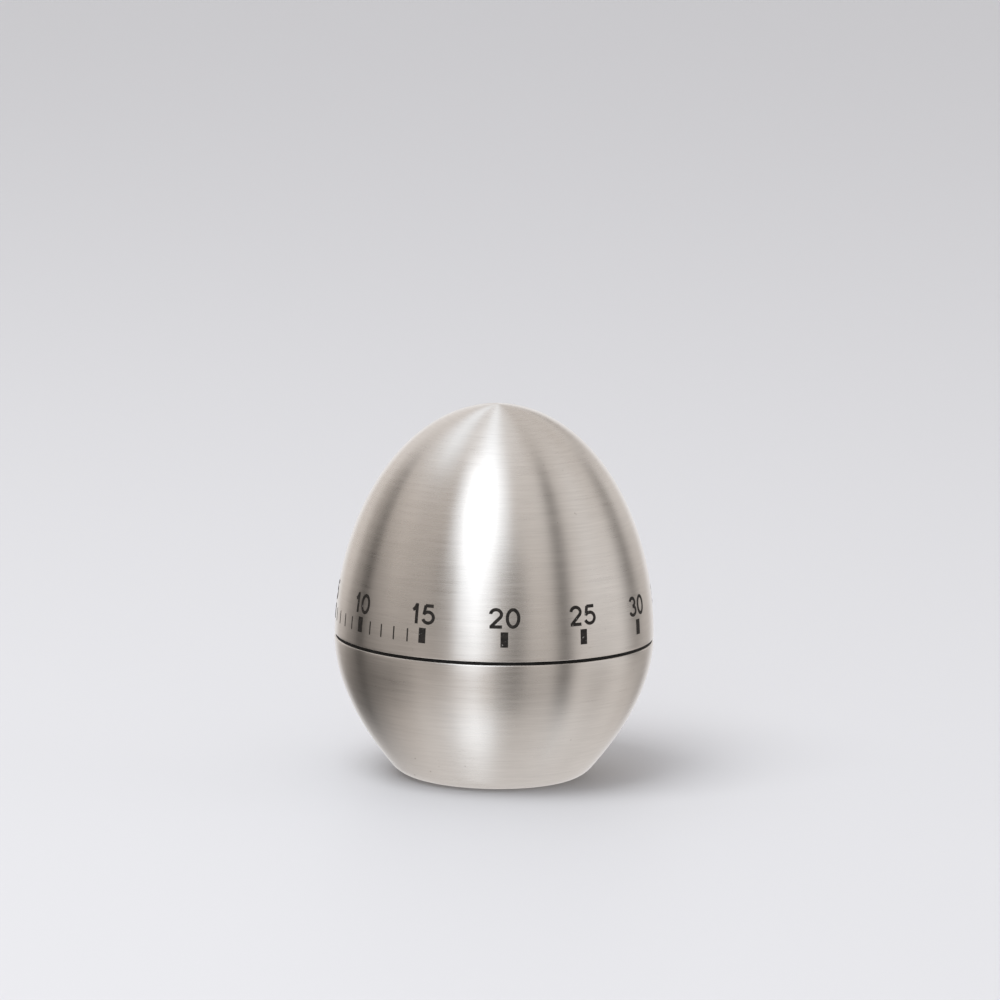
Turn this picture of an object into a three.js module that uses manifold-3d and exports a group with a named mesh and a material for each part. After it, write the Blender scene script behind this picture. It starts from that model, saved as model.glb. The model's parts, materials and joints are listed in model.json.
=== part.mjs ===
// Egg-shaped mechanical kitchen timer, in millimetres, +Z up.
// The origin is the middle of the face it stands on. The reading side, with the index mark, is -Y.
// The upper half is the dial: it winds clockwise seen from above and runs back to zero.
import * as THREE from 'three';
import { mergeVertices } from 'three/addons/utils/BufferGeometryUtils.js';
import Module from 'manifold-3d';

const wasm = await Module();
wasm.setup();

// ---- Driving dimensions -------------------------------------------------------------------

const FIT = 0.1; // gap between pieces that are pressed, riveted or screwed together
const RUN = 0.2; // gap round a pivot or shaft that turns
const TAU = 2 * Math.PI;
const CENTRE = new THREE.Vector2(); // the dial's axis

// The egg: a half ellipsoid above the widest line, a power curve and a round heel below it.
const EGG = {
  radius: 32, widestZ: 28, topZ: 75, heelRadius: 18.4, cupPower: 1.85, heelZ: 2.2, sides: 36,
};
const SHELL = { wall: 0.5, gap: 0.4, lowerEdgeZ: 27.9, upperEdgeZ: 28.55, lipRadius: 14.8 };
const LINER = { wall: 1.4, rimZ: 29, hubRadius: 4.5, hubTopZ: 46, socketTopZ: 40, ribs: 6, ribLowZ: 33 };
const HOUSING = { wall: 1.4, rimZ: 26.6, floorZ: 2.3, floor: 1.3, openRadius: 11, postFootZ: 3 };
const RING = { inner: 28.4, body: 31, outer: 31.75, lowZ: 26.9, lipZ: 28, highZ: 28.42 };
const COVER = { radius: 14.5, lowZ: 0.5, highZ: 2, slots: 8, slotIn: 4.5, slotOut: 9.1, slotWidth: 1.8 };
const BELL = { radius: 16, wall: 0.8, rimZ: 4.6, crownZ: 12.2, holeRadius: 1.8 };
const BELL_POST = { flange: 4, neck: 2.8, tapRadius: 1.3, tapTopZ: 13.5, socketZ: 13.9, topZ: 15.3 };
const BELL_SCREW = { radius: 1.1, head: 2.8, tipZ: 13.4, headZ: 10, thick: 1 };

// The movement: two plates on three pillars, with the train between them.
const PLATE = { radius: 24, thick: 1, lowZ: 13, highZ: 24 };
const LOW_PLATE_TOP = PLATE.lowZ + PLATE.thick;
const HIGH_PLATE_TOP = PLATE.highZ + PLATE.thick;
const ABOVE_PLATE = HIGH_PLATE_TOP + FIT;
const PILLAR = {
  ring: 22, radius: 1.6, tenon: 1, foot: 0.3, tip: 1.6, nut: 2.2, nutTop: 1.3, angles: [332, 118, 205],
};
const PLATE_SCREW = {
  ring: 20, radius: 1.1, head: 2, thick: 1.1, length: 7, post: 2.4, angles: [45, 160, 270],
};
const COVER_SCREW = {
  ring: 12, radius: 1, head: 2, thick: 0.75, headZ: 0.55, tipZ: 4, angles: [30, 150, 270],
  boss: 2.2, bossHeight: 0.6,
};
const ARBOR = {
  foot: 1.3, footZ: 14, flange: 4, flangeZ: 15.5, bodyZ: 16.1, body: 2.5, neckZ: 23.8, neck: 2,
  grooveZ: 25.1, groove: 1.7, grooveTopZ: 25.5, squareZ: 28.2, square: 3.2, topZ: 38,
};
const CLIP = { outer: 3.4, lowZ: 25.15, highZ: 25.45, opening: 60 };
const CLUTCH = {
  hub: 4.2, arm: 7, armWidth: 1.6, lowZ: 17.4, highZ: 17.8,
  collar: 4, collarLowZ: 18, collarHighZ: 19.2,
};
const PIVOT = 0.4; // radius of the fine pivots in the plates
const FINE = { second: 0.9, third: 0.6, escape: 0.5, balance: 0.6, hammer: 0.8 }; // arbor radii

// Gears: 45/6, 48/6 and 48/6 give 480 turns of the escape wheel for each turn of the main wheel.
const MAIN = { teeth: 45, module: 0.53, lowZ: 16.2, highZ: 17.2 };
const SECOND_PINION = { teeth: 6, module: 0.53, lowZ: 15.7, highZ: 17.6 };
const SECOND = { teeth: 48, module: 0.35, lowZ: 14.6, highZ: 15.4 };
const THIRD_PINION = { teeth: 6, module: 0.35, lowZ: 14.4, highZ: 15.8 };
const THIRD = { teeth: 48, module: 0.29, lowZ: 17.9, highZ: 18.6 };
const ESCAPE_PINION = { teeth: 6, module: 0.29, lowZ: 17.5, highZ: 19 };
const ESCAPE = { teeth: 15, tip: 4, root: 3.1, firstAngle: 5, lowZ: 20.4, highZ: 21 };
const WHEEL_TOOTH = { addendum: 0.85, dedendum: 1.05, rootShare: 0.5, tipShare: 0.2 };
const PINION_TOOTH = { addendum: 0.55, dedendum: 1.3, rootShare: 0.36, tipShare: 0.24 };

// Distances from the dial axis of the arbors that follow round it.
const THIRD_RING = 16.5;
const ESCAPE_RING = 17;
const BALANCE = {
  ring: 17.5, fromEscape: 5.5, half: 5.8, width: 1.4, weight: 1.5, lowZ: 14.5, weightTopZ: 15.8,
};
const ANCHOR = { arm: 3.2, spread: 62, pin: 0.25, lowZ: 20.3, pinLowZ: 20, pinHighZ: 21.4 };

// The alarm: a cam on the arbor, a trip lever, and a hammer that a star on the second arbor shakes.
const CAM = { radius: 6.5, notch: 1.4, notchAngle: 12, lowZ: 25.8, highZ: 26.6 };
const STOP = {
  reach: 10.6, width: 0.6, hub: 3.4, lowZ: 26.9, highZ: 27.7,
  pinRing: 9.8, angle: 150,
};
const STOP_PIN = { radius: 0.5, tenon: 0.4 };
const DIAL_TRAVEL = 350; // degrees
const STAR = { points: 10, tip: 2.4, root: 1.7, lowZ: 20.5, highZ: 21.3 };
const HAMMER = { ring: 17.5, fromSecond: 11.5, tail: 8.6, headRing: 17.7, headAngle: -62, head: 1.3 };
const HAMMER_Z = { arm: 15.2, headLow: 5.6, headHigh: 8.4, rodLow: 5.2 };
const HAMMER_WIRE = { radius: 0.7, slot: 2.6, slotShift: 0.6 };
const HAMMER_FINGER = { length: 3.2, width: 1 };
const LEVER = { thick: 0.8, eye: 1.6 };
const TRIP = { ring: 13.5, angle: -80, noseRing: 7.7, noseAngle: -110, tail: 7, width: 1.4 };
const TRIP_STUD = { tenon: 0.6, radius: 0.9, head: 1.6, headZ: 26.8, topZ: 27.3 };
const SPRING = { inner: 3.2, outer: 10.2, turns: 5, strip: 0.35, lowZ: 19.6, highZ: 23.4, endAngle: 205 };
const SPRING_STUD = { ring: 12, radius: 0.9, tenon: 0.5 };
const LEAF = {
  strip: 0.3, foot: 0.9, hammer: [[14.5, -17], [10.75, -15.6]], trip: [[-6, -15], [-0.9, -12]],
};

// ---- Materials ----------------------------------------------------------------------------

const material = (color, roughness, metalness) =>
  new THREE.MeshStandardMaterial({ color, roughness, metalness });
const STEEL = [0xb8b2aa, 0.32, 1];
const PLATE_STEEL = [0xa9aaa8, 0.4, 1];
const SPRING_STEEL = [0x6d7480, 0.35, 1];
const BRASS = [0xc9a04e, 0.35, 1];
const BLACK_PLASTIC = [0x17171a, 0.55, 0];
const GREY_PLASTIC = [0x8e9092, 0.6, 0];
const BRIGHT_STEEL = [0xd6d8da, 0.18, 1];

const timer = new THREE.Group();

function add(name, geometry, [color, roughness, metalness]) {
  const mesh = new THREE.Mesh(geometry, material(color, roughness, metalness));
  mesh.name = name;
  timer.add(mesh);
}

// ---- Solids: joining and cutting ----------------------------------------------------------

// A closed geometry as a solid: shared vertices merged, and the empty triangles at a pole left out.
function solidFrom(geometry) {
  const bare = geometry.clone();
  bare.deleteAttribute('normal');
  bare.deleteAttribute('uv');
  const merged = mergeVertices(bare, 1e-4);
  const corners = merged.index.array;
  const triVerts = [];
  for (let i = 0; i < corners.length; i += 3) {
    const [a, b, c] = corners.slice(i, i + 3);
    if (a !== b && b !== c && c !== a) triVerts.push(a, b, c);
  }
  return new wasm.Manifold(new wasm.Mesh({
    numProp: 3,
    vertProperties: new Float32Array(merged.attributes.position.array),
    triVerts: new Uint32Array(triVerts),
  }));
}

function geometryFrom(solid) {
  const { vertProperties, triVerts } = solid.getMesh();
  const geometry = new THREE.BufferGeometry();
  geometry.setAttribute('position', new THREE.BufferAttribute(vertProperties, 3));
  geometry.setIndex(new THREE.BufferAttribute(triVerts, 1));
  geometry.computeVertexNormals();
  return geometry;
}

const combine = (how, first, others) =>
  geometryFrom(others.reduce((sum, next) => sum[how](solidFrom(next)), solidFrom(first)));
const join = (first, ...others) => combine('add', first, others);
const cut = (first, ...others) => combine('subtract', first, others);
const common = (first, ...others) => combine('intersect', first, others);

// ---- Outlines and simple forms ------------------------------------------------------------

const radians = (degrees) => (degrees * Math.PI) / 180;
const polar = (radius, degrees) =>
  new THREE.Vector2(radius * Math.cos(radians(degrees)), radius * Math.sin(radians(degrees)));
const direction = (from, to) => THREE.MathUtils.radToDeg(Math.atan2(to.y - from.y, to.x - from.x));
const steps = (count) => Array.from({ length: count }, (_, i) => i);

function circle(radius, at = CENTRE, sides = 12) {
  return steps(sides).map((i) => polar(radius, (360 * i) / sides).add(at));
}

// A straight bar of a given width between two points, with square ends.
function bar(from, to, width) {
  const side = to.clone().sub(from).normalize().rotateAround(CENTRE, TAU / 4);
  side.multiplyScalar(width / 2);
  return [from.clone().sub(side), to.clone().sub(side), to.clone().add(side), from.clone().add(side)];
}

// An upright prism between two heights, with holes given as outlines.
function prism(outline, lowZ, highZ, holes = []) {
  const shape = new THREE.Shape(outline);
  shape.holes = holes.map((hole) => new THREE.Path(hole));
  const geometry = new THREE.ExtrudeGeometry(shape, { depth: highZ - lowZ, bevelEnabled: false });
  return geometry.translate(0, 0, lowZ);
}

const rod = (radius, lowZ, highZ, at, sides) => prism(circle(radius, at, sides), lowZ, highZ);

// A turned form round an upright axis, from a closed profile of [radius, height] points.
// A profile that touches the axis does so along one edge, where the turned line starts and ends.
function turned(profile, sides = 20, at = CENTRE) {
  const points = profile.map(([r, z]) => new THREE.Vector2(r, z));
  const turns = points.map((p, i) => p.cross(points[(i + 1) % points.length]));
  if (turns.reduce((sum, turn) => sum + turn, 0) < 0) points.reverse();
  const onAxis = points.findIndex((p, i) => p.x === 0 && points.at(i - 1).x === 0);
  points.push(...points.splice(0, Math.max(onAxis, 0)));
  if (onAxis < 0) points.push(points[0].clone());
  const geometry = new THREE.LatheGeometry(points, sides);
  return geometry.rotateX(TAU / 4).translate(at.x, at.y, 0);
}

// ---- The egg's surfaces -------------------------------------------------------------------

// The dome from its rim to the apex, a distance inside the outer surface.
function domeLine(inset, rimZ, count) {
  const rise = EGG.topZ - EGG.widestZ;
  const start = Math.asin((rimZ - EGG.widestZ) / rise);
  return steps(count + 1).map((i) => {
    const t = start + ((TAU / 4 - start) * i) / count;
    const normal = new THREE.Vector2(Math.cos(t) / EGG.radius, Math.sin(t) / rise).normalize();
    const z = i === 0 ? rimZ : EGG.widestZ + rise * Math.sin(t) - inset * normal.y;
    return [i === count ? 0 : EGG.radius * Math.cos(t) - inset * normal.x, z];
  });
}

// The cup from its rim down round the heel to a floor height, a distance inside the outer surface.
function cupLine(inset, rimZ, floorZ, count = 6, heelCount = 3) {
  const drop = EGG.radius - EGG.heelRadius;
  const share = (z) => (EGG.widestZ - z) / EGG.widestZ;
  const slope = (z) => (drop * EGG.cupPower * share(z) ** (EGG.cupPower - 1)) / EGG.widestZ;
  const line = steps(count + 1).map((i) => {
    const z = rimZ + ((EGG.heelZ - rimZ) * i) / count;
    const normal = new THREE.Vector2(1, -slope(z)).normalize();
    const r = EGG.radius - drop * share(z) ** EGG.cupPower;
    return [r - inset * normal.x, i === 0 ? rimZ : z - inset * normal.y];
  });
  const heel = heelArc();
  const floorAngle = -Math.asin(Math.min(1, (heel.radius - floorZ) / (heel.radius - inset)));
  const arc = steps(heelCount).map((i) => {
    const a = heel.start + ((floorAngle - heel.start) * (i + 1)) / heelCount;
    const reach = heel.radius - inset;
    return [heel.centre + reach * Math.cos(a), heel.radius + reach * Math.sin(a)];
  });
  return [...line, ...arc];
}

// The round heel meets the cup's side smoothly and the table flat: its radius is also its height.
function heelArc() {
  const drop = EGG.radius - EGG.heelRadius;
  const share = (EGG.widestZ - EGG.heelZ) / EGG.widestZ;
  const slope = (drop * EGG.cupPower * share ** (EGG.cupPower - 1)) / EGG.widestZ;
  const normal = new THREE.Vector2(1, -slope).normalize();
  const radius = EGG.heelZ / (1 + normal.y);
  const edge = EGG.radius - drop * share ** EGG.cupPower;
  return { radius, centre: edge - radius * normal.x, start: Math.asin(normal.y) };
}

// ---- Outer pieces -------------------------------------------------------------------------

function upperShell() {
  const outside = domeLine(0, SHELL.upperEdgeZ, 10);
  const inside = domeLine(SHELL.wall, SHELL.upperEdgeZ, 7);
  return turned([...outside, ...inside.reverse()], EGG.sides);
}

function lowerShell() {
  const outside = cupLine(0, SHELL.lowerEdgeZ, 0);
  const inside = cupLine(SHELL.wall, SHELL.lowerEdgeZ, SHELL.wall);
  const lip = [[SHELL.lipRadius, 0], [SHELL.lipRadius, SHELL.wall]];
  return turned([...outside, ...lip, ...inside.reverse()], EGG.sides);
}

// The dial's liner: a dome with a hub on ribs, whose square socket takes the winding arbor.
function liner() {
  const outer = SHELL.wall + SHELL.gap;
  const outside = domeLine(outer, LINER.rimZ, 7);
  const inside = domeLine(outer + LINER.wall, LINER.rimZ, 5);
  const dome = turned([...outside, ...inside.reverse()], EGG.sides);
  const bulk = turned([...domeLine(outer + LINER.wall / 2, LINER.rimZ, 5), [0, LINER.rimZ]], EGG.sides);
  const ribs = steps(LINER.ribs).map((i) => {
    const angle = (360 * i) / LINER.ribs;
    const outline = bar(polar(LINER.hubRadius - 1, angle), polar(EGG.radius, angle), LINER.wall);
    return common(prism(outline, LINER.ribLowZ, LINER.hubTopZ), bulk);
  });
  const hub = rod(LINER.hubRadius, LINER.rimZ, LINER.hubTopZ);
  const half = ARBOR.square / 2 + RUN;
  const square = bar(new THREE.Vector2(-half, 0), new THREE.Vector2(half, 0), 2 * half);
  const socket = prism(square, LINER.rimZ - 1, LINER.socketTopZ);
  return cut(join(dome, hub, ...ribs), socket);
}

// The inner cup that carries the movement: a wall, an open floor, and posts tied to the wall.
function housing() {
  const outer = SHELL.wall + SHELL.gap;
  const inner = outer + HOUSING.wall;
  const floorTop = HOUSING.floorZ + HOUSING.floor;
  const outside = cupLine(outer, HOUSING.rimZ, HOUSING.floorZ, 5, 1);
  const inside = cupLine(inner, HOUSING.rimZ, floorTop, 4, 1);
  const opening = [[HOUSING.openRadius, HOUSING.floorZ], [HOUSING.openRadius, floorTop]];
  const cup = turned([...outside, ...opening, ...inside.reverse()], EGG.sides);
  const middle = cupLine(outer + HOUSING.wall / 2, HOUSING.rimZ, HOUSING.floorZ + HOUSING.wall / 2, 4, 1);
  const bulk = turned([...middle, [0, middle.at(-1)[1]], [0, HOUSING.rimZ]], EGG.sides);
  const postTop = PLATE.lowZ - FIT;
  const posts = PLATE_SCREW.angles.map((angle) => {
    const at = polar(PLATE_SCREW.ring, angle);
    const web = prism(bar(at, polar(EGG.radius, angle), HOUSING.wall), HOUSING.postFootZ, postTop);
    return common(join(rod(PLATE_SCREW.post, HOUSING.postFootZ, postTop, at), web), bulk);
  });
  const bossTop = floorTop + COVER_SCREW.bossHeight;
  const holeTop = postTop + 1;
  const bosses = AT.coverScrews.map((at) => rod(COVER_SCREW.boss, HOUSING.floorZ, bossTop, at));
  const screwHoles = AT.plateScrews.map((at) =>
    rod(PLATE_SCREW.radius + FIT, holeTop - PLATE_SCREW.length, holeTop, at));
  const coverHoles = AT.coverScrews.map((at) => rod(COVER_SCREW.radius + FIT, 0, bossTop + 1, at));
  return cut(join(cup, ...posts, ...bosses), ...screwHoles, ...coverHoles);
}

// The thin black ring that shows between the two shells.
function seamRing() {
  const { inner, body, outer, lowZ, lipZ, highZ } = RING;
  const foot = [[inner, lowZ], [body, lowZ], [body, lipZ]];
  const lip = [[outer, lipZ], [outer, highZ], [inner, highZ]];
  return turned([...foot, ...lip], EGG.sides);
}

// The base cover closes the shell's foot and lets the bell sound through radial slots.
function baseCover() {
  const slots = steps(COVER.slots).map((i) => {
    const angle = (360 * (i + 0.5)) / COVER.slots;
    return bar(polar(COVER.slotIn, angle), polar(COVER.slotOut, angle), COVER.slotWidth);
  });
  const holes = AT.coverScrews.map((at) => circle(COVER_SCREW.radius + FIT, at));
  const rim = circle(COVER.radius, CENTRE, EGG.sides);
  const disc = prism(rim, COVER.lowZ, COVER.highZ, [...slots, ...holes]);
  const sinkTop = COVER_SCREW.headZ + COVER_SCREW.thick + FIT;
  return cut(disc, ...AT.coverScrews.map((at) => rod(COVER_SCREW.head + RUN, 0, sinkTop, at)));
}

// A screw whose cross-slotted head faces down or up.
function screw(at, { radius, head, thick, headZ, tipZ }) {
  const inward = Math.sign(tipZ - headZ);
  const under = headZ + inward * thick;
  const profile = [[0, headZ], [head, headZ], [head, under], [radius, under], [radius, tipZ], [0, tipZ]];
  const slotEnd = 0.6 * head;
  const [low, high] = [headZ - inward, headZ + inward * 0.6 * thick].sort((a, b) => a - b);
  const cross = [0, 90].map((angle) =>
    prism(bar(polar(-slotEnd, angle).add(at), polar(slotEnd, angle).add(at), radius / 2), low, high));
  return cut(turned(profile, 12, at), ...cross);
}

// ---- Movement frame -----------------------------------------------------------------------

// The arbors stand round the dial axis, each at its gear's distance from the one before.
const centreDistance = (wheel, pinion) => ((wheel.teeth + pinion.teeth) * wheel.module) / 2;

// The angle at the dial axis between two arbors, from the three sides of their triangle.
function angleBetween(ringA, ringB, apart) {
  const cosine = (ringA ** 2 + ringB ** 2 - apart ** 2) / (2 * ringA * ringB);
  return THREE.MathUtils.radToDeg(Math.acos(cosine));
}

const SECOND_RING = centreDistance(MAIN, SECOND_PINION);
const thirdAngle = angleBetween(SECOND_RING, THIRD_RING, centreDistance(SECOND, THIRD_PINION));
const escapeAngle =
  thirdAngle + angleBetween(THIRD_RING, ESCAPE_RING, centreDistance(THIRD, ESCAPE_PINION));
const balanceAngle = escapeAngle + angleBetween(ESCAPE_RING, BALANCE.ring, BALANCE.fromEscape);
const AT = {
  second: polar(SECOND_RING, 0),
  third: polar(THIRD_RING, thirdAngle),
  escape: polar(ESCAPE_RING, escapeAngle),
  balance: polar(BALANCE.ring, balanceAngle),
  hammer: polar(HAMMER.ring, -angleBetween(SECOND_RING, HAMMER.ring, HAMMER.fromSecond)),
  head: polar(HAMMER.headRing, HAMMER.headAngle),
  trip: polar(TRIP.ring, TRIP.angle),
  nose: polar(TRIP.noseRing, TRIP.noseAngle),
  springEnd: polar(SPRING_STUD.ring, SPRING.endAngle),
  stopPin: polar(STOP.pinRing, STOP.angle),
  pillars: PILLAR.angles.map((angle) => polar(PILLAR.ring, angle)),
  plateScrews: PLATE_SCREW.angles.map((angle) => polar(PLATE_SCREW.ring, angle)),
  coverScrews: COVER_SCREW.angles.map((angle) => polar(COVER_SCREW.ring, angle)),
};
const FINE_ARBORS = [AT.second, AT.third, AT.escape, AT.balance];

function bottomPlate() {
  const holes = [
    circle(BELL_POST.neck + FIT, CENTRE, 20),
    ...[...FINE_ARBORS, AT.hammer].map((at) => circle(PIVOT + RUN, at, 8)),
    ...AT.pillars.map((at) => circle(PILLAR.tenon + FIT, at)),
    ...AT.plateScrews.map((at) => circle(PLATE_SCREW.radius + FIT, at)),
    circle(HAMMER_WIRE.slot, polar(HAMMER.headRing + HAMMER_WIRE.slotShift, HAMMER.headAngle)),
  ];
  return prism(circle(PLATE.radius, CENTRE, EGG.sides), PLATE.lowZ, LOW_PLATE_TOP, holes);
}

function topPlate() {
  const holes = [
    circle(ARBOR.neck + RUN, CENTRE, 20),
    ...FINE_ARBORS.map((at) => circle(PIVOT + RUN, at, 8)),
    circle(FINE.hammer + RUN, AT.hammer, 8),
    ...AT.pillars.map((at) => circle(PILLAR.tenon + FIT, at)),
    circle(SPRING_STUD.tenon + FIT, AT.springEnd),
    circle(STOP_PIN.tenon + FIT, AT.stopPin),
    circle(TRIP_STUD.tenon + FIT, AT.trip),
  ];
  return prism(circle(PLATE.radius, CENTRE, EGG.sides), PLATE.highZ, HIGH_PLATE_TOP, holes);
}

function pillar(at) {
  const { radius, tenon } = PILLAR;
  const low = LOW_PLATE_TOP + FIT;
  const high = PLATE.highZ - FIT;
  const footZ = PLATE.lowZ - PILLAR.foot;
  const tipZ = HIGH_PLATE_TOP + PILLAR.tip;
  const profile = [
    [0, footZ], [tenon, footZ], [tenon, low], [radius, low],
    [radius, high], [tenon, high], [tenon, tipZ], [0, tipZ],
  ];
  return turned(profile, 12, at);
}

function pillarNut(at) {
  const bore = circle(PILLAR.tenon + FIT, at);
  return prism(circle(PILLAR.nut, at, 6), ABOVE_PLATE, HIGH_PLATE_TOP + PILLAR.nutTop, [bore]);
}

// The bell post: riveted through the bottom plate, bored above for the arbor's foot, tapped below.
function bellPost() {
  const { flange, neck, tapRadius, tapTopZ, socketZ, topZ } = BELL_POST;
  const footZ = BELL.crownZ + FIT;
  const flangeTop = PLATE.lowZ - FIT;
  const socket = ARBOR.foot + RUN;
  return turned([
    [0, tapTopZ], [tapRadius, tapTopZ], [tapRadius, footZ], [flange, footZ], [flange, flangeTop],
    [neck, flangeTop], [neck, topZ], [socket, topZ], [socket, socketZ], [0, socketZ],
  ]);
}

function bell() {
  const curve = (radius, rise) => steps(7).map((i) => {
    const t = (Math.acos(BELL.holeRadius / radius) * i) / 6;
    return [radius * Math.cos(t), BELL.rimZ + rise * Math.sin(t)];
  });
  const rise = BELL.crownZ - BELL.rimZ;
  const outside = curve(BELL.radius, rise);
  const inside = curve(BELL.radius - BELL.wall, rise - BELL.wall);
  return turned([...outside, ...inside.reverse()], 32);
}

// A strip wound from the arbor out to its stud; both sides of the strip are the same spiral.
function mainspring() {
  const count = SPRING.turns * 16;
  const side = (offset) => steps(count + 1).map((i) => {
    const along = i / count;
    const radius = SPRING.inner + (SPRING.outer - SPRING.inner) * along + offset;
    return polar(radius, SPRING.endAngle - 360 * SPRING.turns * (1 - along));
  });
  const outline = [...side(SPRING.strip / 2), ...side(-SPRING.strip / 2).reverse()];
  return prism(outline, SPRING.lowZ, SPRING.highZ);
}

// ---- Wheels and arbors --------------------------------------------------------------------

// Straight-sided teeth, four points each, the first tooth at a given angle.
function teeth({ teeth: count, module }, { addendum, dedendum, rootShare, tipShare }, firstAngle, at) {
  const pitchRadius = (count * module) / 2;
  const tip = pitchRadius + addendum * module;
  const root = pitchRadius - dedendum * module;
  const pitch = 360 / count;
  return steps(count).flatMap((i) => {
    const middle = firstAngle + pitch * i;
    return [
      polar(root, middle - (pitch * rootShare) / 2).add(at),
      polar(tip, middle - (pitch * tipShare) / 2).add(at),
      polar(tip, middle + (pitch * tipShare) / 2).add(at),
      polar(root, middle + (pitch * rootShare) / 2).add(at),
    ];
  });
}

// Four windows between the spokes of a crossed-out wheel.
function windows(inner, outer, spoke, at) {
  return steps(4).map((i) => {
    const arc = (radius) => {
      const edge = THREE.MathUtils.radToDeg(Math.asin(spoke / 2 / radius));
      return steps(4).map((j) => polar(radius, 90 * i + edge + ((90 - 2 * edge) * j) / 3).add(at));
    };
    return [...arc(outer), ...arc(inner).reverse()];
  });
}

// A crossed-out brass wheel whose first tooth points at the pinion it drives.
function wheel(gear, at, bore, partner) {
  const rim = (gear.teeth * gear.module) / 2 - 2.4 * gear.module - 0.8;
  const outline = teeth(gear, WHEEL_TOOTH, direction(at, partner), at);
  const holes = [circle(bore, at), ...windows(bore + 1.6, rim, 1.5, at)];
  return prism(outline, gear.lowZ, gear.highZ, holes);
}

// A fine arbor: a body with a pivot at each end, between the plates.
function arbor(radius, at, topZ = HIGH_PLATE_TOP + FIT, topRadius = PIVOT) {
  const low = LOW_PLATE_TOP + RUN;
  const high = PLATE.highZ - RUN;
  const footZ = PLATE.lowZ - FIT;
  const profile = [
    [0, footZ], [PIVOT, footZ], [PIVOT, low], [radius, low],
    [radius, high], [topRadius, high], [topRadius, topZ], [0, topZ],
  ];
  return turned(profile, 8, at);
}

// An arbor with its pinion: the gap between two leaves faces the wheel that drives it.
function pinionArbor(gear, radius, at, driver) {
  const firstAngle = direction(at, driver) + 180 / gear.teeth;
  const leaves = prism(teeth(gear, PINION_TOOTH, firstAngle, at), gear.lowZ, gear.highZ);
  return join(arbor(radius, at), leaves);
}

// Pointed teeth that all lean the same way. The wheel rests with neither pin over a tooth.
function escapeWheel() {
  const pitch = 360 / ESCAPE.teeth;
  const outline = steps(ESCAPE.teeth).flatMap((i) => [
    polar(ESCAPE.root, ESCAPE.firstAngle + pitch * i).add(AT.escape),
    polar(ESCAPE.tip, ESCAPE.firstAngle + pitch * (i + 0.72)).add(AT.escape),
    polar(ESCAPE.tip, ESCAPE.firstAngle + pitch * (i + 0.8)).add(AT.escape),
  ]);
  return prism(outline, ESCAPE.lowZ, ESCAPE.highZ, [circle(FINE.escape + FIT, AT.escape)]);
}

// The winding arbor: foot pivot, flange under the main wheel, neck with a clip groove, square end.
function windingArbor() {
  const a = ARBOR;
  const round = turned([
    [0, a.footZ], [a.foot, a.footZ], [a.foot, a.flangeZ], [a.flange, a.flangeZ], [a.flange, a.bodyZ],
    [a.body, a.bodyZ], [a.body, a.neckZ], [a.neck, a.neckZ], [a.neck, a.grooveZ], [a.groove, a.grooveZ],
    [a.groove, a.grooveTopZ], [a.neck, a.grooveTopZ], [a.neck, a.squareZ], [0, a.squareZ],
  ]);
  const half = new THREE.Vector2(a.square / 2, 0);
  return join(round, prism(bar(half.clone().negate(), half, a.square), a.squareZ - FIT, a.topZ));
}

// An open ring that springs into the arbor's groove.
function arborClip() {
  const arc = (radius) =>
    steps(13).map((i) => polar(radius, CLIP.opening / 2 + ((360 - CLIP.opening) * i) / 12));
  return prism([...arc(CLIP.outer), ...arc(ARBOR.groove + FIT).reverse()], CLIP.lowZ, CLIP.highZ);
}

const collar = (outer, inner, lowZ, highZ) =>
  prism(circle(outer, CENTRE, 20), lowZ, highZ, [circle(inner, CENTRE, 20)]);

// The clutch spring: a washer with three arms that press on the main wheel.
function clutchSpring() {
  const { hub, arm, armWidth, lowZ, highZ } = CLUTCH;
  const arms = steps(3).map((i) => {
    const outline = bar(polar(hub - 1, 120 * i), polar(arm, 120 * i), armWidth);
    return prism(outline, lowZ, highZ);
  });
  return join(collar(hub, ARBOR.body + FIT, lowZ, highZ), ...arms);
}

// ---- Alarm --------------------------------------------------------------------------------

// A disc with one notch, which faces the trip lever's nose when the dial is at zero.
function alarmCam() {
  const { radius, notch, notchAngle } = CAM;
  const rim = steps(33).map((i) =>
    polar(radius, TRIP.noseAngle + notchAngle + ((360 - 2 * notchAngle) * i) / 32));
  const outline = [...rim, polar(radius - notch, TRIP.noseAngle)];
  return prism(outline, CAM.lowZ, CAM.highZ, [circle(ARBOR.neck + FIT, CENTRE, 20)]);
}

// The stop arm stands just past the stop pin at zero, and just short of it at full travel.
function stopArm() {
  const angle = STOP.angle - (360 - DIAL_TRAVEL) / 2;
  const hub = collar(STOP.hub, ARBOR.neck + FIT, STOP.lowZ, STOP.highZ);
  const outline = bar(polar(STOP.hub - 0.5, angle), polar(STOP.reach, angle), STOP.width);
  return join(hub, prism(outline, STOP.lowZ, STOP.highZ));
}

function strikeStar() {
  const outline = steps(2 * STAR.points).map((i) =>
    polar(i % 2 ? STAR.root : STAR.tip, (180 * i) / STAR.points).add(AT.second));
  return prism(outline, STAR.lowZ, STAR.highZ, [circle(FINE.second + FIT, AT.second)]);
}

// A flat lever on an arbor: an eye with one or more arms.
function lever(eye, bore, tips, width, lowZ, highZ = lowZ + LEVER.thick) {
  const arms = tips.map((tip) => prism(bar(eye, tip, width), lowZ, highZ));
  return cut(join(rod(LEVER.eye, lowZ, highZ, eye), ...arms), rod(bore, lowZ - 1, highZ + 1, eye));
}

const towards = (from, to, length) => to.clone().sub(from).setLength(length).add(from);

// The hammer arm reaches out, then down through the bottom plate to the bell's rim.
function hammerArm() {
  const { arm, rodLow } = HAMMER_Z;
  const flat = lever(AT.hammer, FINE.hammer + FIT, [AT.head], 2 * HAMMER_WIRE.radius, arm);
  return join(flat, rod(HAMMER_WIRE.radius, rodLow, arm + LEVER.thick, AT.head));
}

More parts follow.
